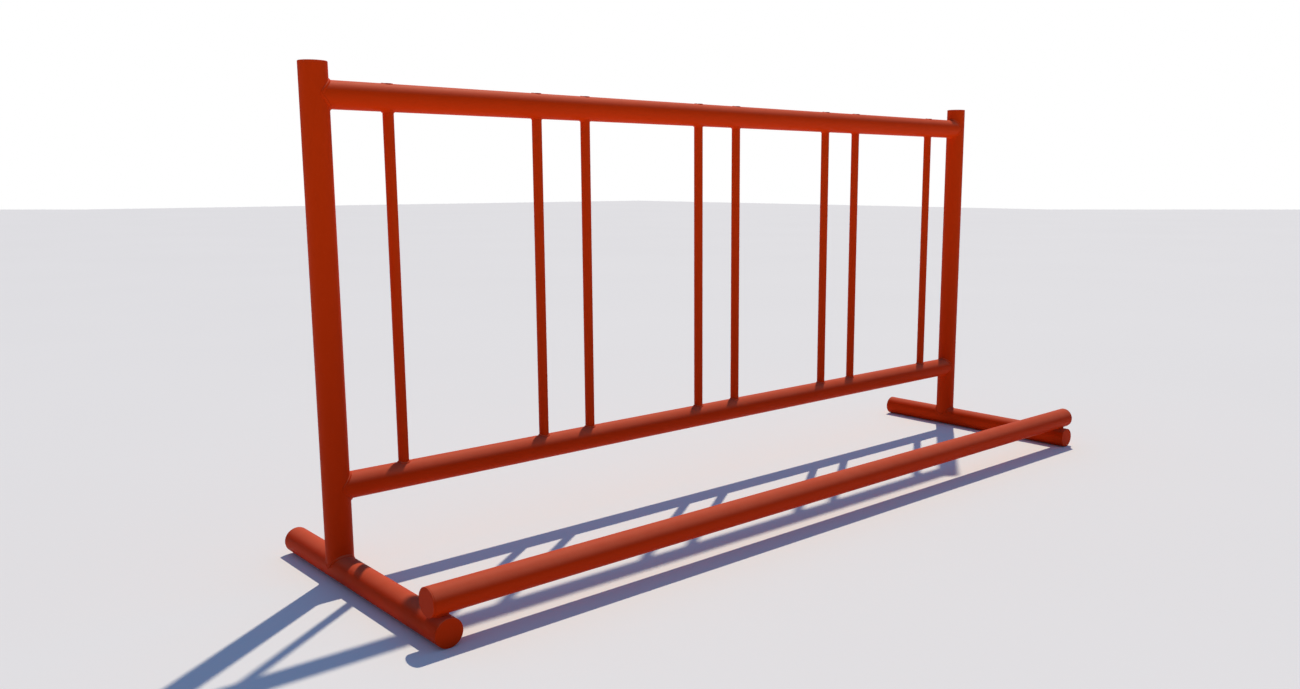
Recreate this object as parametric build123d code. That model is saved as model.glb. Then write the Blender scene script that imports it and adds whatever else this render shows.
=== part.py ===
from build123d import *
import math
import os

# A floor-standing bicycle rack of welded round steel tube.
# Millimetres. +Z is up, X runs along the rack, and the bicycles come in from the -Y side.
# The origin is on the floor, midway between the posts and midway along the feet.

# Driving dimensions
TUBE_DIAMETER = 50.0
TUBE_WALL = 3.0
BAR_DIAMETER = 20.0
SLOT_COUNT = 5
SLOT_WIDTH = 100.0
BAY_WIDTH = 300.0
POST_HEIGHT = 930.0
TOP_RAIL_CROWN = 900.0
LOWER_RAIL_CROWN = 200.0
FOOT_LENGTH = 600.0
FOOT_BEHIND_POST = 200.0
CAP_THICKNESS = 3.0
CAP_CHAMFER = 0.8
SEAM_CHAMFER = 0.4
BAR_CHAMFER = 0.3
BAR_STAND_OUT = 0.3
BAR_HOLE_CLEARANCE = 0.25
BAR_SEAT_GAP = 0.2
COPE_LAND = 4.0
WELD_THROAT = 2.5
WELD_WIDTH = 7.0
CROWN_WELD_HEIGHT = 0.3
SEAT_WELD_INNER = 6.0
SEAT_WELD_OUTER = 13.0

# Worked out from them
TUBE_RADIUS = TUBE_DIAMETER / 2
BORE_RADIUS = TUBE_RADIUS - TUBE_WALL
BAR_RADIUS = BAR_DIAMETER / 2
BAY_COUNT = SLOT_COUNT - 1
POST_SPAN = SLOT_COUNT * SLOT_WIDTH + BAY_COUNT * (BAY_WIDTH + 2 * BAR_DIAMETER) + TUBE_DIAMETER
POST_X = POST_SPAN / 2
RAIL_END = POST_X + TUBE_RADIUS
FOOT_END = FOOT_LENGTH / 2
POST_Y = FOOT_END - FOOT_BEHIND_POST
FOOT_Z = TUBE_RADIUS
TOP_RAIL_Z = TOP_RAIL_CROWN - TUBE_RADIUS
LOWER_RAIL_Z = LOWER_RAIL_CROWN - TUBE_RADIUS
GROUND_RAIL_Y = -FOOT_END + TUBE_RADIUS
GROUND_RAIL_Z = FOOT_Z + TUBE_DIAMETER
BAR_BOTTOM = LOWER_RAIL_Z - math.sqrt(BORE_RADIUS**2 - BAR_RADIUS**2) + BAR_SEAT_GAP
BAR_TOP = TOP_RAIL_CROWN + BAR_STAND_OUT

SIDES = {"left": -1, "right": 1}
TURNS = {"X": (0, 90, 0), "Y": (90, 0, 0), "Z": (0, 0, 0)}


def bar_positions():
    """The X of each wheel bar: a slot beside each post, then bays and slots in turn."""
    positions = []
    edge = -POST_X + TUBE_RADIUS
    for _ in range(BAY_COUNT):
        first = edge + SLOT_WIDTH + BAR_RADIUS
        second = first + BAY_WIDTH + BAR_DIAMETER
        positions += [first, second]
        edge = second + BAR_RADIUS
    return positions


def rod(radius, along, start, end, across=(0, 0)):
    """A solid round rod along one axis, with its two other coordinates in axis order."""
    middle = (start + end) / 2
    centre = list(across)
    centre.insert("XYZ".index(along), middle)
    return Pos(*centre) * Rot(*TURNS[along]) * Cylinder(radius, end - start)


def end_edges(shape, along, radius):
    """The round outer edges at the two ends of a rod or tube."""
    axis = {"X": Axis.X, "Y": Axis.Y, "Z": Axis.Z}[along]
    rims = shape.edges().filter_by(GeomType.CIRCLE)
    rims = [rim for rim in rims if abs(rim.radius - radius) < 0.01]
    return ShapeList(rims).sort_by(axis)


def tube(along, start, end, across):
    """A round tube with its two outer rims broken for the cap seams."""
    body = rod(TUBE_RADIUS, along, start, end, across)
    body = chamfer(end_edges(body, along, TUBE_RADIUS), SEAM_CHAMFER)
    return body - rod(BORE_RADIUS, along, start - 1, end + 1, across)


def cap(along, inner, outer, across):
    """A flat disc that closes a tube, welded on and ground flush with it."""
    low, high = sorted((inner, outer))
    outer_end, inner_end = (-1, 0) if outer > inner else (0, -1)
    disc = rod(TUBE_RADIUS, along, low, high, across)
    disc = chamfer(end_edges(disc, along, TUBE_RADIUS)[outer_end], CAP_CHAMFER)
    return chamfer(end_edges(disc, along, TUBE_RADIUS)[inner_end], SEAM_CHAMFER)


def foot(x):
    """A floor tube, lying across the rack under one post."""
    return tube("Y", -FOOT_END + CAP_THICKNESS, FOOT_END - CAP_THICKNESS, (x, FOOT_Z))


def foot_solid(x):
    """The full round outline of a foot, for coping what stands on it."""
    return rod(TUBE_RADIUS, "Y", -FOOT_END, FOOT_END, (x, FOOT_Z))


def post(x):
    """An upright tube, coped to sit astride its foot."""
    body = tube("Z", FOOT_Z + COPE_LAND, POST_HEIGHT - CAP_THICKNESS, (x, POST_Y))
    return body - foot_solid(x)


def post_solid(x):
    """The full round outline of a post, for coping the rails."""
    return rod(TUBE_RADIUS, "Z", 0, POST_HEIGHT, (x, POST_Y))


def plain_rail(z):
    """A rail between the posts, coped at both ends."""
    reach = POST_X - COPE_LAND
    rail = rod(TUBE_RADIUS, "X", -reach, reach, (POST_Y, z))
    rail -= rod(BORE_RADIUS, "X", -reach - 1, reach + 1, (POST_Y, z))
    for side in SIDES.values():
        rail -= post_solid(side * POST_X)
    return rail


def bar_hole(x, low, high):
    """The cutter for one wheel bar's drilled hole."""
    return rod(BAR_RADIUS + BAR_HOLE_CLEARANCE, "Z", low, high, (x, POST_Y))


def top_rail():
    """The upper rail, drilled right through for the wheel bars."""
    rail = plain_rail(TOP_RAIL_Z)
    for x in bar_positions():
        rail -= bar_hole(x, TOP_RAIL_Z - TUBE_DIAMETER, TOP_RAIL_Z + TUBE_DIAMETER)
    return rail


def lower_rail():
    """The lower rail, drilled through its upper wall only."""
    rail = plain_rail(LOWER_RAIL_Z)
    for x in bar_positions():
        rail -= bar_hole(x, LOWER_RAIL_Z, LOWER_RAIL_Z + TUBE_DIAMETER)
    return rail


def ground_rail():
    """The front rail, lying on the feet, that a front wheel rolls over."""
    end = RAIL_END - CAP_THICKNESS
    return tube("X", -end, end, (GROUND_RAIL_Y, GROUND_RAIL_Z))


def wheel_bar(x):
    """A solid round bar from inside the lower rail to just above the top rail."""
    bar = rod(BAR_RADIUS, "Z", BAR_BOTTOM, BAR_TOP, (x, POST_Y))
    return chamfer(end_edges(bar, "Z", BAR_RADIUS), BAR_CHAMFER)


def tee_weld():
    """The bead round a coped joint: the run lies along Y, the branch rises along Z."""
    reach = 2 * TUBE_DIAMETER
    grown = TUBE_RADIUS + WELD_THROAT
    both = rod(grown, "Y", -reach, reach) & rod(grown, "Z", 0, reach)
    slab = Box(3 * TUBE_DIAMETER, 3 * TUBE_DIAMETER, WELD_WIDTH)
    strips = Rot(45, 0, 0) * slab + Rot(-45, 0, 0) * slab
    bead = both & strips
    bead -= rod(TUBE_RADIUS, "Y", -2 * reach, 2 * reach)
    return bead - rod(TUBE_RADIUS, "Z", COPE_LAND, 2 * reach)


def post_foot_weld(x):
    """The bead where a post stands on its foot."""
    return Pos(x, POST_Y, FOOT_Z) * tee_weld()


def rail_post_weld(side, z):
    """The bead where a rail's coped end meets its post."""
    seat = Plane(origin=(side * POST_X, POST_Y, z), x_dir=(0, -side, 0), z_dir=(-side, 0, 0))
    return seat.location * tee_weld()


def ground_rail_weld(x):
    """The ring of weld between a foot's crown and the ground rail lying across it."""
    contact = FOOT_Z + TUBE_RADIUS
    low, high = contact - TUBE_RADIUS / 2, contact + TUBE_RADIUS / 2
    ring = rod(SEAT_WELD_OUTER, "Z", low, high, (x, GROUND_RAIL_Y))
    ring -= rod(SEAT_WELD_INNER, "Z", low - 1, high + 1, (x, GROUND_RAIL_Y))
    ring -= foot_solid(x)
    reach = 2 * TUBE_DIAMETER
    return ring - rod(TUBE_RADIUS, "X", x - reach, x + reach, (GROUND_RAIL_Y, GROUND_RAIL_Z))


def bar_weld(x, rail_z, height, upward):
    """A ring of weld round a wheel bar, on the crown or the underside of a rail."""
    reach = TUBE_RADIUS + height
    low, high = (rail_z, rail_z + reach) if upward else (rail_z - reach, rail_z)
    throat = BAR_RADIUS + max(height, WELD_THROAT)
    ring = rod(throat, "Z", low, high, (x, POST_Y))
    ring -= rod(BAR_RADIUS, "Z", low - 1, high + 1, (x, POST_Y))
    near = TUBE_DIAMETER
    return ring - rod(TUBE_RADIUS, "X", x - near, x + near, (POST_Y, rail_z))


def bar_welds(rail_z, height, upward):
    """The like rings of weld on all the wheel bars, as separate solids in one node."""
    return Compound([bar_weld(x, rail_z, height, upward).solid() for x in bar_positions()])


def all_parts():
    """Every node's shape by its name."""
    parts = {
        "top_rail": top_rail(),
        "lower_rail": lower_rail(),
        "ground_rail": ground_rail(),
        "bar_welds_above_top_rail": bar_welds(TOP_RAIL_Z, CROWN_WELD_HEIGHT, True),
        "bar_welds_under_top_rail": bar_welds(TOP_RAIL_Z, WELD_THROAT, False),
        "bar_welds_on_lower_rail": bar_welds(LOWER_RAIL_Z, WELD_THROAT, True),
    }
    for name, side in SIDES.items():
        x = side * POST_X
        front, rear = -FOOT_END, FOOT_END
        end = side * RAIL_END
        parts["foot_" + name] = foot(x)
        parts["foot_" + name + "_front_cap"] = cap("Y", front + CAP_THICKNESS, front, (x, FOOT_Z))
        parts["foot_" + name + "_rear_cap"] = cap("Y", rear - CAP_THICKNESS, rear, (x, FOOT_Z))
        parts["post_" + name] = post(x)
        parts["post_" + name + "_cap"] = cap("Z", POST_HEIGHT - CAP_THICKNESS, POST_HEIGHT, (x, POST_Y))
        parts["ground_rail_" + name + "_cap"] = cap(
            "X", end - side * CAP_THICKNESS, end, (GROUND_RAIL_Y, GROUND_RAIL_Z)
        )
        parts["post_" + name + "_foot_weld"] = post_foot_weld(x)
        parts["top_rail_" + name + "_weld"] = rail_post_weld(side, TOP_RAIL_Z)
        parts["lower_rail_" + name + "_weld"] = rail_post_weld(side, LOWER_RAIL_Z)
        parts["ground_rail_" + name + "_weld"] = ground_rail_weld(x)
    for number, x in enumerate(bar_positions(), start=1):
        parts["wheel_bar_" + str(number)] = wheel_bar(x)
    return parts


def main():
    """Write one STEP file for each node."""
    os.makedirs("parts", exist_ok=True)
    for name, shape in all_parts().items():
        export_step(shape, os.path.join("parts", name + ".step"))


main()
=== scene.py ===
import math
import random

import bmesh
import bpy
from mathutils import Matrix, Vector


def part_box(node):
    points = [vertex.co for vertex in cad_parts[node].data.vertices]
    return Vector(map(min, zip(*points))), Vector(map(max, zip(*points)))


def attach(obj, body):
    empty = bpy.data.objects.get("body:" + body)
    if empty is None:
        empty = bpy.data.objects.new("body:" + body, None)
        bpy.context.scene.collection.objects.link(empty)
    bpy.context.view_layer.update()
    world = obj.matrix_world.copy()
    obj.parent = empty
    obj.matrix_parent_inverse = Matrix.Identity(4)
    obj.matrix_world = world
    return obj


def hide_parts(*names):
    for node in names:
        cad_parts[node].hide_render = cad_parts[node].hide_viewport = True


bl_info = {
    "name": "Bicycle rack finish",
    "version": (1, 0, 0),
    "blender": (4, 5, 0),
    "location": "View3D > Sidebar > Bicycle Rack",
    "description": "Paints a welded tube bicycle rack, lays its weld beads and sets its stage",
    "category": "Object",
}

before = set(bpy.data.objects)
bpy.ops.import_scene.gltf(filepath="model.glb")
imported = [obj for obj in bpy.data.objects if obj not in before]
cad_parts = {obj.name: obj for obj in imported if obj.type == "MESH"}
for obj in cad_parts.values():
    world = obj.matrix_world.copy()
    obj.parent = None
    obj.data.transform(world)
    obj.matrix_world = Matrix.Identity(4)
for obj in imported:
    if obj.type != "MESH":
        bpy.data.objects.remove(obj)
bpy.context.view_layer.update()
BODY = "root"
SIDES = ("left", "right")


# ---------------------------------------------------------------- places, from the frame


def middle(node):
    """The middle of a node's box."""
    low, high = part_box(node)
    return (low + high) / 2


def extent(node):
    """The three sides of a node's box."""
    low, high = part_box(node)
    return high - low


TUBE_RADIUS = extent("post_left_cap").x / 2
BAR_RADIUS = extent("wheel_bar_1").x / 2
FOOT_AXIS_Z = TUBE_RADIUS
TOP_RAIL_Z = middle("top_rail").z
LOWER_RAIL_Z = middle("lower_rail").z
BAR_NAMES = sorted(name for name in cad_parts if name.startswith("wheel_bar_"))
CAP_NAMES = sorted(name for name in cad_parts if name.endswith("_cap"))
TUBE_NAMES = ["top_rail", "lower_rail", "ground_rail"]
TUBE_NAMES += [part + "_" + side for part in ("foot", "post") for side in SIDES]


# ---------------------------------------------------------------- fixed proportions

# The coat. Sizes are in metres, and a range is where a share starts and where it is full.
CLOUD_SIZE = 0.35
MOTTLE_SIZE = 0.03
CLOUD_WEIGHT, MOTTLE_WEIGHT = 0.7, 0.3
PIT_RANGE = (0.62, 0.80)
FADE_RANGE = (0.40, 0.22)
FADE_SHARE = 0.3
# The painted sheen: where it starts and where it is full along the way it faces, and the roughness that
# it and the faded specks add.
SHEEN_RANGE = (0.55, 0.92)
SHEEN_AND_FADE_ROUGHNESS = 0.6
MOTTLE_ROUGHNESS = 0.10
PEEL_ROUGHNESS = 0.05
GRAIN_HEIGHT = 0.12
COAT_IOR = 1.5

# The weld beads
RING_STEPS = 64
STEPS_PER_RIPPLE = 5
CORNER_SOFTNESS = 0.15
SEAT_REACH = 0.46
CHEVRON = 0.45
SWELL = 0.07
WANDER = 0.08
PERCH = 0.25
POST_SEEDS, RAIL_SEEDS, GROUND_SEEDS, BAR_SEEDS = 0, 10, 20, 30
SEEDS_PER_ROW = 10

# The stage
FLOOR_CLOUD_SIZE = 1.6
FLOOR_SHADE = 0.97
APRON_DROP = 0.002
SIGHT_PER_REACH = 4


# ---------------------------------------------------------------- settings


class PaintSettings(bpy.types.PropertyGroup):
    """Colour and surface of the powder coat."""

    colour: bpy.props.FloatVectorProperty(
        name="Paint", description="Colour of the coat where it is thickest",
        default=(0.75, 0.045, 0.001), min=0, max=1, subtype="COLOR",
    )
    thin_colour: bpy.props.FloatVectorProperty(
        name="Thin paint", description="Colour of the coat where it is thinner",
        default=(0.69, 0.039, 0.0005), min=0, max=1, subtype="COLOR",
    )
    # Pale colour blended in as a painted highlight, a sheen on faces turned up and towards the key
    # light's reflection; the faded specks use it too.
    sheen_and_fade_colour: bpy.props.FloatVectorProperty(
        name="Sheen", description="Colour of the faded, chalky film on upward faces",
        default=(0.95, 0.48, 0.29), min=0, max=1, subtype="COLOR",
    )
    # Strength of the painted sheen.
    sheen_strength: bpy.props.FloatProperty(
        name="Chalk cover", description="Share of chalky film on upward faces",
        default=0.13, min=0, max=1, subtype="FACTOR",
    )
    # Faces turned this way, up and towards the front where the key light's reflection falls, get the
    # most painted sheen.
    highlight_side: bpy.props.FloatVectorProperty(
        name="Chalk side",
        description="Way that the most weathered side faces, up and towards the open front",
        default=(-0.06, -0.38, 0.92), size=3, subtype="DIRECTION",
    )
    # Darker paint blended in as painted shade towards the floor; the darker specks use it too.
    low_shade_and_speck_colour: bpy.props.FloatVectorProperty(
        name="Darker paint", description="Colour of the coat near the ground",
        default=(0.51, 0.027, 0.0002), min=0, max=1, subtype="COLOR",
    )
    # Height at which the painted shade towards the floor has faded out.
    low_shade_height: bpy.props.FloatProperty(
        name="Darkening height", description="Height at which the grime has faded out",
        default=0.85, min=0.01, unit="LENGTH",
    )
    roughness: bpy.props.FloatProperty(
        name="Roughness", description="Mean roughness of the satin coat",
        default=0.50, min=0, max=1, subtype="FACTOR",
    )
    gloss: bpy.props.FloatProperty(
        name="Gloss", description="Strength of the coat's mirror reflection",
        default=0.04, min=0, max=1, subtype="FACTOR",
    )
    speck: bpy.props.FloatProperty(
        name="Speck strength", description="How much the fine specks of the coat darken or fade it",
        default=0.10, min=0, max=1, subtype="FACTOR",
    )
    peel_size: bpy.props.FloatProperty(
        name="Orange peel size", description="Spacing of the coat's orange peel",
        default=0.0022, min=0.0002, unit="LENGTH",
    )
    peel_depth: bpy.props.FloatProperty(
        name="Orange peel depth", description="Height of the coat's orange peel",
        default=0.00005, min=0, unit="LENGTH",
    )


class WeldSettings(bpy.types.PropertyGroup):
    """Sizes of the weld beads."""

    width: bpy.props.FloatProperty(
        name="Width", description="Half width of a tube joint's bead",
        default=0.0026, min=0.0005, unit="LENGTH",
    )
    height: bpy.props.FloatProperty(
        name="Height", description="Half height of a tube joint's bead",
        default=0.0010, min=0.0002, unit="LENGTH",
    )
    fill: bpy.props.FloatProperty(
        name="Fill", description="How far a tube joint's bead fills a square corner",
        default=0.0015, min=0, unit="LENGTH",
    )
    bar_share: bpy.props.FloatProperty(
        name="Bar share", description="Size of a bar's bead beside a tube joint's bead",
        default=0.72, min=0.1, max=1, subtype="FACTOR",
    )
    crown_share: bpy.props.FloatProperty(
        name="Crown share", description="Size of the bead round a bar's tip on the top rail",
        default=0.30, min=0.1, max=1, subtype="FACTOR",
    )
    pitch: bpy.props.FloatProperty(
        name="Ripple pitch", description="Spacing of the ripples along a bead",
        default=0.0021, min=0.0005, unit="LENGTH",
    )
    ripple: bpy.props.FloatProperty(
        name="Ripple depth", description="Depth of the ripples as a share of the bead",
        default=0.16, min=0, max=1, subtype="FACTOR",
    )
    sides: bpy.props.IntProperty(
        name="Sides", description="Faces round a bead", default=12, min=6,
    )


class StageSettings(bpy.types.PropertyGroup):
    """Floor, light and camera."""

    floor_reach: bpy.props.FloatVectorProperty(
        name="Floor reach",
        description="How far the floor reaches from the rack, to the sides and to the back",
        default=(23.6, 29.3), size=2, min=2, unit="LENGTH",
    )
    apron_reach: bpy.props.FloatProperty(
        name="Apron reach",
        description="How far the turned floor under the first one reaches from the rack",
        default=25.2, min=2, unit="LENGTH",
    )
    floor_colour: bpy.props.FloatVectorProperty(
        name="Floor", description="Colour of the floor",
        default=(0.82, 0.82, 0.82), min=0, max=1, subtype="COLOR",
    )
    sun_colour: bpy.props.FloatVectorProperty(
        name="Key light", description="Colour of the key light",
        default=(1.0, 0.885, 0.70), min=0, max=1, subtype="COLOR",
    )
    sun_power: bpy.props.FloatProperty(
        name="Key power", description="Strength of the key light", default=2.92, min=0,
    )
    sun_lean: bpy.props.FloatVectorProperty(
        name="Key lean",
        description="How far the key light leans to the right and the back, per unit of height",
        default=(0.51, 0.367), size=2,
    )
    sun_size: bpy.props.FloatProperty(
        name="Key size", description="Angle that the key light fills, which softens its shadows",
        default=math.radians(1.1), min=0, subtype="ANGLE",
    )
    horizon_colour: bpy.props.FloatVectorProperty(
        name="Low fill", description="Colour of the fill light near the horizon",
        default=(0.30, 0.31, 0.34), min=0, subtype="COLOR",
    )
    zenith_colour: bpy.props.FloatVectorProperty(
        name="High fill", description="Colour of the fill light overhead",
        default=(0.13, 0.215, 0.40), min=0, subtype="COLOR",
    )
    horizon_height: bpy.props.FloatProperty(
        name="Low fill height", description="Sine of the elevation at which the low fill ends",
        default=0.42, min=0.01, max=1, subtype="FACTOR",
    )
    camera_place: bpy.props.FloatVectorProperty(
        name="Camera", description="Place of the camera",
        default=(-1.7283, -1.7261, 0.7271), subtype="TRANSLATION", unit="LENGTH",
    )
    heading: bpy.props.FloatProperty(
        name="Heading", description="Direction of view, clockwise from the rack's +Y",
        default=math.radians(42.314), subtype="ANGLE",
    )
    pitch: bpy.props.FloatProperty(
        name="Pitch", description="How far the view looks down",
        default=math.radians(9.193), subtype="ANGLE",
    )
    lens: bpy.props.FloatProperty(
        name="Lens", description="Focal length on a 36 mm wide sensor",
        default=29.370, min=1, unit="CAMERA",
    )
    shift: bpy.props.FloatVectorProperty(
        name="Shift", description="Shift of the lens, as shares of the picture's width",
        default=(-0.03577, 0.00620), size=2,
    )


# ---------------------------------------------------------------- shader kit


class Value:
    """A number that varies over a surface. Arithmetic on it adds Math nodes."""

    def __init__(self, recipe, socket):
        self.recipe = recipe
        self.socket = socket

    def math(self, operation, *values):
        return self.recipe.node("ShaderNodeMath", {"operation": operation}, *values)

    def __add__(self, other):
        return self.math("ADD", self, other)

    def __sub__(self, other):
        return self.math("SUBTRACT", self, other)

    def __mul__(self, other):
        return self.math("MULTIPLY", self, other)

    __radd__ = __add__
    __rmul__ = __mul__

    def clamped(self):
        """The value kept between 0 and 1."""
        return self.recipe.node("ShaderNodeClamp", {}, self)


class Recipe:
    """A node tree being filled in."""

    def __init__(self, tree):
        self.tree = tree
        tree.nodes.clear()

    def node(self, kind, settings, *inputs, output=0, **named):
        """Add a node, set it, then give its sockets values or links, in order or by name."""
        made = self.tree.nodes.new(kind)
        for key, value in settings.items():
            setattr(made, key, value)
        for key, value in list(enumerate(inputs)) + list(named.items()):
            socket = made.inputs[key if isinstance(key, int) else key.replace("_", " ")]
            if isinstance(value, Value):
                self.tree.links.new(value.socket, socket)
            elif value is not None:
                socket.default_value = value
        return Value(self, made.outputs[output] if made.outputs else None)

    def noise(self, place, size, detail=2.0):
        """Smooth noise whose lumps are about size across, in metres."""
        return self.node("ShaderNodeTexNoise", {}, Vector=place, Scale=1 / size, Detail=detail)

    def ramp(self, value, start, stop):
        """A share that eases from 0 at start to 1 at stop."""
        settings = {"interpolation_type": "SMOOTHSTEP"}
        return self.node("ShaderNodeMapRange", settings, value, start, stop)

    def blend(self, share, first, second):
        """A colour between two colours."""
        settings = {"data_type": "RGBA"}
        not_for_colours = [None] * 5
        return self.node("ShaderNodeMix", settings, share, *not_for_colours, first, second, output=2)


def rgba(colour):
    """A colour property with full alpha."""
    return (*colour, 1.0)


def new_material(name):
    """A material and its empty recipe."""
    material = bpy.data.materials.new(name)
    material.use_nodes = True
    return material, Recipe(material.node_tree)


# ---------------------------------------------------------------- materials


def powder_coat(name, settings, peel_share=1.0, spatter=0.0):
    """Satin powder coat: uneven tone, specks, orange peel, painted shade that darkens it towards the
    floor, and a painted sheen on faces turned up and towards the front.
    """
    material, recipe = new_material(name)
    place = recipe.node("ShaderNodeTexCoord", {}, output=3)
    normal = recipe.node("ShaderNodeNewGeometry", {}, output=1)
    dot = {"operation": "DOT_PRODUCT"}
    # How far each face turns towards the side of the painted sheen.
    highlight_facing = recipe.node("ShaderNodeVectorMath", dot, normal, settings.highlight_side, output=1)
    cloud = recipe.noise(place, CLOUD_SIZE, detail=3.0)
    mottle = recipe.noise(place, MOTTLE_SIZE, detail=3.0)
    peel = recipe.noise(place, settings.peel_size, detail=1.0)
    grain = recipe.noise(place, settings.peel_size / 7, detail=0.0)
    specks = recipe.noise(place, settings.peel_size * 0.8, detail=2.0)
    thin = (cloud * CLOUD_WEIGHT + mottle * MOTTLE_WEIGHT).clamped()
    coat = recipe.blend(thin, rgba(settings.colour), rgba(settings.thin_colour))
    level = recipe.node("ShaderNodeSeparateXYZ", {}, place, output=2)
    # Painted shade: the coat darkens towards the floor, and the darker specks are added to it.
    painted_low_shade = recipe.ramp(level, settings.low_shade_height, 0.0)
    pitted = recipe.ramp(specks, *PIT_RANGE) * settings.speck
    coat = recipe.blend((painted_low_shade + pitted).clamped(), coat, rgba(settings.low_shade_and_speck_colour))
    # Painted highlight: a pale sheen laid on faces turned up and towards the key light's reflection,
    # with the faded specks added.
    painted_sheen_share = recipe.ramp(highlight_facing, *SHEEN_RANGE) * settings.sheen_strength * (0.75 + mottle * 0.5)
    faded = recipe.ramp(specks, *FADE_RANGE) * settings.speck * FADE_SHARE
    sheen_and_fade_share = (painted_sheen_share + faded).clamped()
    colour = recipe.blend(sheen_and_fade_share, coat, rgba(settings.sheen_and_fade_colour))
    uneven = (mottle - 0.5) * MOTTLE_ROUGHNESS + (peel - 0.5) * PEEL_ROUGHNESS
    roughness = settings.roughness + uneven + sheen_and_fade_share * SHEEN_AND_FADE_ROUGHNESS
    height = peel * peel_share + grain * GRAIN_HEIGHT
    if spatter:
        height = height + recipe.noise(place, settings.peel_size / 2, detail=3.0) * spatter
    bump = recipe.node(
        "ShaderNodeBump", {}, Strength=1.0, Distance=settings.peel_depth, Height=height,
    )
    shader = recipe.node(
        "ShaderNodeBsdfPrincipled", {}, Base_Color=colour, Roughness=roughness, IOR=COAT_IOR,
        Specular_IOR_Level=settings.gloss, Normal=bump,
    )
    recipe.node("ShaderNodeOutputMaterial", {}, shader)
    return material


def floor_finish(settings):
    """A plain pale floor with a faint unevenness."""
    material, recipe = new_material("pale_floor")
    place = recipe.node("ShaderNodeTexCoord", {}, output=3)
    cloud = recipe.noise(place, FLOOR_CLOUD_SIZE)
    colour = rgba(settings.floor_colour)
    shade = rgba([channel * FLOOR_SHADE for channel in settings.floor_colour])
    tone = recipe.blend(cloud, colour, shade)
    shader = recipe.node(
        "ShaderNodeBsdfPrincipled", {}, Base_Color=tone, Roughness=0.85, Specular_IOR_Level=0.2,
    )
    recipe.node("ShaderNodeOutputMaterial", {}, shader)
    return material


def dress(names, material):
    """Give CAD nodes a material."""
    for name in names:
        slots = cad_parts[name].data.materials
        slots.clear()
        slots.append(material)


# ---------------------------------------------------------------- weld beads


def tee_seam(turn):
    """Seam of two equal tubes, the branch along Z and the run along Y, with both outward normals."""
    rise = math.hypot(math.sin(turn), CORNER_SOFTNESS) / math.hypot(1, CORNER_SOFTNESS)
    branch = Vector((math.cos(turn), math.sin(turn), 0))
    run = Vector((math.cos(turn), 0, rise)).normalized()
    return Vector((math.cos(turn), math.sin(turn), rise)) * TUBE_RADIUS, branch, run


def bar_seam(turn):
    """Seam of a bar along Z on a rail along X, with both outward normals."""
    x, y = BAR_RADIUS * math.cos(turn), BAR_RADIUS * math.sin(turn)
    z = math.sqrt(TUBE_RADIUS**2 - y**2)
    return Vector((x, y, z)), Vector((x, y, 0)).normalized(), Vector((0, y, z)).normalized()


def seat_seam(turn):
    """Ring round the point where a rail along X lies on a foot along Y."""
    reach = SEAT_REACH * TUBE_RADIUS
    x, y = reach * math.cos(turn), reach * math.sin(turn)
    foot = math.sqrt(TUBE_RADIUS**2 - x**2) - TUBE_RADIUS
    rail = TUBE_RADIUS - math.sqrt(TUBE_RADIUS**2 - y**2)
    outward = Vector((x, y, 0)).normalized()
    return Vector((x, y, (foot + rail) / 2)), outward, outward


def seam_frames(seam, count):
    """Points along a closed seam: distance along, outward, across, and how sharp the corner is."""
    turns = [2 * math.pi * step / count for step in range(count)]
    points = [seam(turn) for turn in turns]
    frames, run = [], 0.0
    for index, (point, branch, base) in enumerate(points):
        following = points[(index + 1) % count][0]
        along = (following - points[index - 1][0]).normalized()
        outward = branch + base
        outward = (outward - outward.dot(along) * along).normalized()
        frames.append((point, run, outward, along.cross(outward), 1 - branch.dot(base)))
        run += (following - point).length
    return frames, run


def lay_bead(bm, seam, share, settings, place, seed):
    """One closed rippled bead: a round section spun into a ring, then laid along the seam."""
    width, height, fill = settings.width * share, settings.height * share, settings.fill * share
    chance = random.Random(seed)
    _, length = seam_frames(seam, RING_STEPS)
    ripples = round(length / settings.pitch)
    count = ripples * STEPS_PER_RIPPLE
    frames, length = seam_frames(seam, count)
    wobble = [chance.uniform(-1, 1) for _ in range(ripples + 1)]
    wobble[-1] = wobble[0]
    ring = bmesh.ops.create_circle(bm, segments=settings.sides, radius=1)["verts"]
    bmesh.ops.rotate(bm, verts=ring, cent=(0, 0, 0), matrix=Matrix.Rotation(math.pi / 2, 3, "X"))
    bmesh.ops.translate(bm, verts=ring, vec=(2, 0, 0))
    edges = list({edge for vert in ring for edge in vert.link_edges})
    before = set(bm.verts) - set(ring)
    bmesh.ops.spin(
        bm, geom=ring + edges, cent=(0, 0, 0), axis=(0, 0, 1), angle=2 * math.pi,
        steps=count, use_merge=True, use_duplicate=False,
    )
    for vert in set(bm.verts) - before:
        turn = math.atan2(vert.co.y, vert.co.x) % (2 * math.pi)
        index = round(turn / (2 * math.pi) * count) % count
        point, run, outward, across, corner = frames[index]
        side = math.hypot(vert.co.x, vert.co.y) - 2
        rise = vert.co.z
        phase = run / length * ripples + CHEVRON * side**2
        whole = int(phase) % ripples
        share = phase - int(phase)
        swell = wobble[whole] * (1 - share) + wobble[whole + 1] * share
        scallop = abs(math.sin(math.pi * phase))
        size = 1 - settings.ripple * (1 - scallop) + SWELL * swell
        offset = across * side * width * (1 + WANDER * swell)
        lift = fill * corner + height * PERCH
        vert.co = place @ (point + offset + outward * (lift + rise * height * size))


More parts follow.
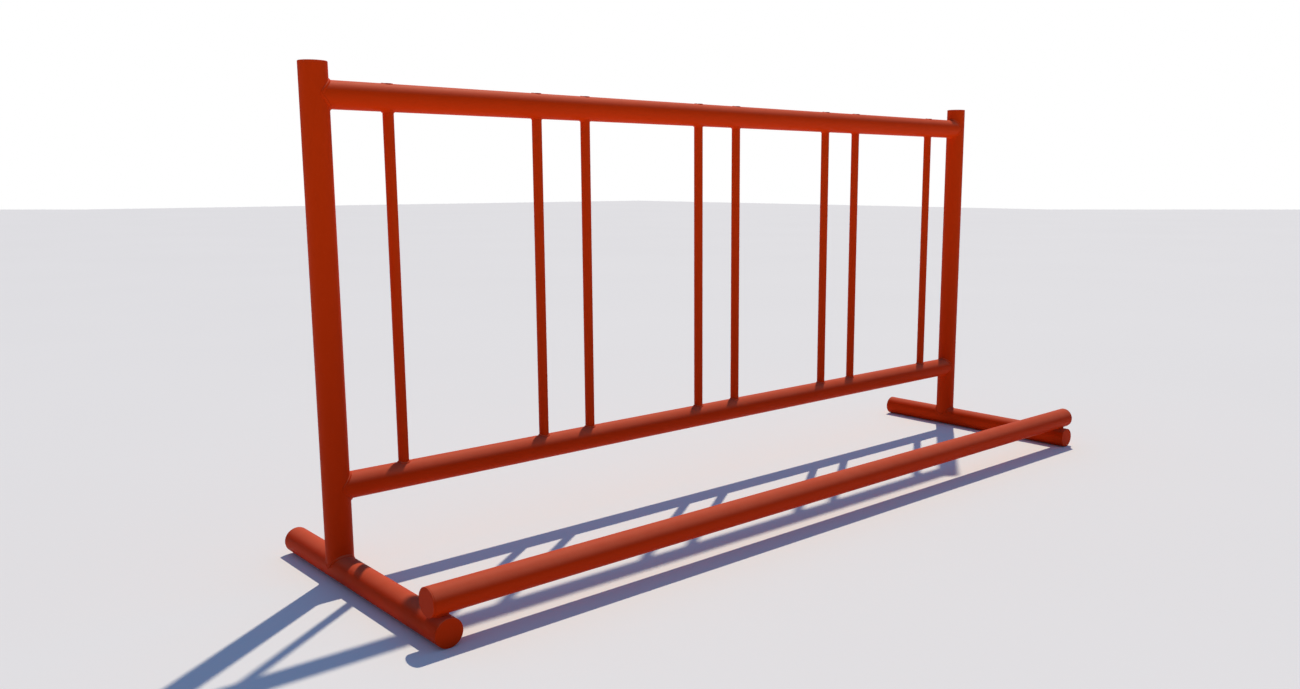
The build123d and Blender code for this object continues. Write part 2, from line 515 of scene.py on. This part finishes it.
def finish_piece(name, bm, material, *replaced):
    """Turn a finished bmesh into a smooth piece that rides on the rack."""
    bmesh.ops.recalc_face_normals(bm, faces=bm.faces)
    mesh = bpy.data.meshes.new(name)
    bm.to_mesh(mesh)
    bm.free()
    mesh.shade_smooth()
    mesh.materials.append(material)
    piece = bpy.data.objects.new(name, mesh)
    bpy.context.scene.collection.objects.link(piece)
    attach(piece, BODY)
    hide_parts(*replaced)
    return piece


def weld_material():
    """The coat over weld metal, made once."""
    found = bpy.data.materials.get("weld_coat")
    return found or powder_coat("weld_coat", bpy.context.scene.rack_paint, peel_share=0.6, spatter=0.8)


# ---------------------------------------------------------------- operators


class PaintTubes(bpy.types.Operator):
    """Paint the feet, posts, rails and end caps"""

    bl_idname = "rack.paint_tubes"
    bl_label = "Paint tubes"

    def execute(self, context):
        dress(TUBE_NAMES + CAP_NAMES, powder_coat("tube_coat", context.scene.rack_paint))
        return {"FINISHED"}


class PaintBars(bpy.types.Operator):
    """Paint the wheel bars"""

    bl_idname = "rack.paint_bars"
    bl_label = "Paint wheel bars"

    def execute(self, context):
        dress(BAR_NAMES, powder_coat("bar_coat", context.scene.rack_paint, peel_share=0.8))
        return {"FINISHED"}


class WeldPosts(bpy.types.Operator):
    """Lay the bead where each post stands on its foot"""

    bl_idname = "rack.weld_posts"
    bl_label = "Weld posts to feet"

    def execute(self, context):
        sizes = context.scene.rack_weld
        for seed, side in enumerate(SIDES):
            post = middle("post_" + side)
            place = Matrix.Translation((post.x, post.y, FOOT_AXIS_Z))
            bm = bmesh.new()
            lay_bead(bm, tee_seam, 1, sizes, place, POST_SEEDS + seed)
            finish_piece("bead_post_" + side, bm, weld_material(), "post_" + side + "_foot_weld")
        return {"FINISHED"}


class WeldRails(bpy.types.Operator):
    """Lay the bead round each end of the top and lower rails"""

    bl_idname = "rack.weld_rails"
    bl_label = "Weld rails to posts"

    def execute(self, context):
        sizes = context.scene.rack_weld
        ends = [(rail, side) for rail in ("top", "lower") for side in SIDES]
        for seed, (rail, side) in enumerate(ends):
            post, level = middle("post_" + side), middle(rail + "_rail").z
            inward = 1 if post.x < 0 else -1
            turned = Matrix(((0, 0, inward), (inward, 0, 0), (0, 1, 0))).to_4x4()
            place = Matrix.Translation((post.x, post.y, level)) @ turned
            bm = bmesh.new()
            lay_bead(bm, tee_seam, 1, sizes, place, RAIL_SEEDS + seed)
            name = rail + "_rail_" + side
            finish_piece("bead_" + name, bm, weld_material(), name + "_weld")
        return {"FINISHED"}


class WeldGroundRail(bpy.types.Operator):
    """Lay the ring of weld between the ground rail and each foot"""

    bl_idname = "rack.weld_ground_rail"
    bl_label = "Weld ground rail to feet"

    def execute(self, context):
        sizes = context.scene.rack_weld
        rail = middle("ground_rail")
        for seed, side in enumerate(SIDES):
            place = Matrix.Translation((middle("foot_" + side).x, rail.y, 2 * TUBE_RADIUS))
            bm = bmesh.new()
            lay_bead(bm, seat_seam, 1, sizes, place, GROUND_SEEDS + seed)
            name = "ground_rail_" + side
            finish_piece("bead_" + name, bm, weld_material(), name + "_weld")
        return {"FINISHED"}


class WeldBars(bpy.types.Operator):
    """Lay the rings of weld round the wheel bars"""

    bl_idname = "rack.weld_bars"
    bl_label = "Weld wheel bars"

    def execute(self, context):
        sizes = context.scene.rack_weld
        rows = (
            ("crown", "bar_welds_above_top_rail", TOP_RAIL_Z, 1, sizes.crown_share),
            ("underside", "bar_welds_under_top_rail", TOP_RAIL_Z, -1, sizes.bar_share),
            ("lower", "bar_welds_on_lower_rail", LOWER_RAIL_Z, 1, sizes.bar_share),
        )
        for row, (name, node, level, upward, share) in enumerate(rows):
            bm = bmesh.new()
            seeds = BAR_SEEDS + SEEDS_PER_ROW * row
            for number, bar_name in enumerate(BAR_NAMES):
                bar = middle(bar_name)
                place = Matrix.Translation((bar.x, bar.y, level)) @ Matrix.Diagonal((1, 1, upward, 1))
                lay_bead(bm, bar_seam, share, sizes, place, seeds + number)
            finish_piece("beads_bar_" + name, bm, weld_material(), node)
        return {"FINISHED"}


class SetStage(bpy.types.Operator):
    """Lay the floor, hang the lights and place the camera"""

    bl_idname = "rack.set_stage"
    bl_label = "Set stage"

    def execute(self, context):
        settings = context.scene.rack_stage
        lay_floor(context, settings)
        hang_lights(context, settings)
        place_camera(context, settings)
        context.scene.view_settings.view_transform = "Standard"
        return {"FINISHED"}


def lay_floor(context, settings):
    """A pale floor square with the rack, and one a hair lower that is turned to the view."""
    bm = bmesh.new()
    straight = Matrix.Diagonal((*settings.floor_reach, 1, 1))
    turned = Matrix.Rotation(-settings.heading, 4, "Z") @ Matrix.Scale(settings.apron_reach, 4)
    turned.translation.z = -APRON_DROP
    for place in (straight, turned):
        bmesh.ops.create_grid(bm, x_segments=1, y_segments=1, size=1, matrix=place)
    mesh = bpy.data.meshes.new("floor")
    bm.to_mesh(mesh)
    bm.free()
    mesh.materials.append(floor_finish(settings))
    floor = bpy.data.objects.new("floor", mesh)
    context.scene.collection.objects.link(floor)


def hang_lights(context, settings):
    """A soft key light from behind on the right, and a fill that is pale below and dim overhead."""
    lamp = bpy.data.lights.new("key", "SUN")
    lamp.energy = settings.sun_power
    lamp.color = settings.sun_colour
    lamp.angle = settings.sun_size
    key = bpy.data.objects.new("key", lamp)
    toward = Vector((*settings.sun_lean, 1))
    key.rotation_euler = toward.to_track_quat("Z", "Y").to_euler()
    context.scene.collection.objects.link(key)

    world = bpy.data.worlds.new("fill")
    world.use_nodes = True
    context.scene.world = world
    recipe = Recipe(world.node_tree)
    direction = recipe.node("ShaderNodeTexCoord", {}, output=0)
    level = recipe.node("ShaderNodeSeparateXYZ", {}, direction, output=2)
    share = recipe.ramp(level, 0.0, settings.horizon_height)
    sky = recipe.blend(share, rgba(settings.horizon_colour), rgba(settings.zenith_colour))
    fill = recipe.node("ShaderNodeBackground", {}, sky)
    backdrop = recipe.node("ShaderNodeBackground", {}, (1, 1, 1, 1))
    seen = recipe.node("ShaderNodeLightPath", {}, output=0)
    mixed = recipe.node("ShaderNodeMixShader", {}, seen, fill, backdrop)
    recipe.node("ShaderNodeOutputWorld", {}, mixed)


def place_camera(context, settings):
    """The camera, level from side to side."""
    lens = bpy.data.cameras.new("camera")
    lens.lens = settings.lens
    lens.shift_x, lens.shift_y = settings.shift
    lens.clip_end = SIGHT_PER_REACH * max(settings.floor_reach)
    camera = bpy.data.objects.new("camera", lens)
    camera.location = settings.camera_place
    camera.rotation_euler = (math.pi / 2 - settings.pitch, 0, -settings.heading)
    context.scene.collection.objects.link(camera)
    context.scene.camera = camera


# ---------------------------------------------------------------- add-on


STEPS = (PaintTubes, PaintBars, WeldPosts, WeldRails, WeldGroundRail, WeldBars, SetStage)
SETTINGS = {"rack_paint": PaintSettings, "rack_weld": WeldSettings, "rack_stage": StageSettings}


class RackPanel(bpy.types.Panel):
    """Buttons that finish the bicycle rack"""

    bl_idname = "VIEW3D_PT_bicycle_rack"
    bl_label = "Bicycle Rack"
    bl_space_type = "VIEW_3D"
    bl_region_type = "UI"
    bl_category = "Bicycle Rack"

    def draw(self, context):
        for step in STEPS:
            self.layout.operator(step.bl_idname)
        for name, group in SETTINGS.items():
            box = self.layout.box()
            for field in group.__annotations__:
                box.prop(getattr(context.scene, name), field)


def register():
    for name, group in SETTINGS.items():
        bpy.utils.register_class(group)
        setattr(bpy.types.Scene, name, bpy.props.PointerProperty(type=group))
    for item in (*STEPS, RackPanel):
        bpy.utils.register_class(item)


def unregister():
    for item in reversed((*STEPS, RackPanel)):
        bpy.utils.unregister_class(item)
    for name, group in SETTINGS.items():
        delattr(bpy.types.Scene, name)
        bpy.utils.unregister_class(group)


def main():
    """Finish the whole rack."""
    register()
    for step in STEPS:
        area, action = step.bl_idname.split(".")
        getattr(getattr(bpy.ops, area), action)()


if __name__ == "__main__":
    main()
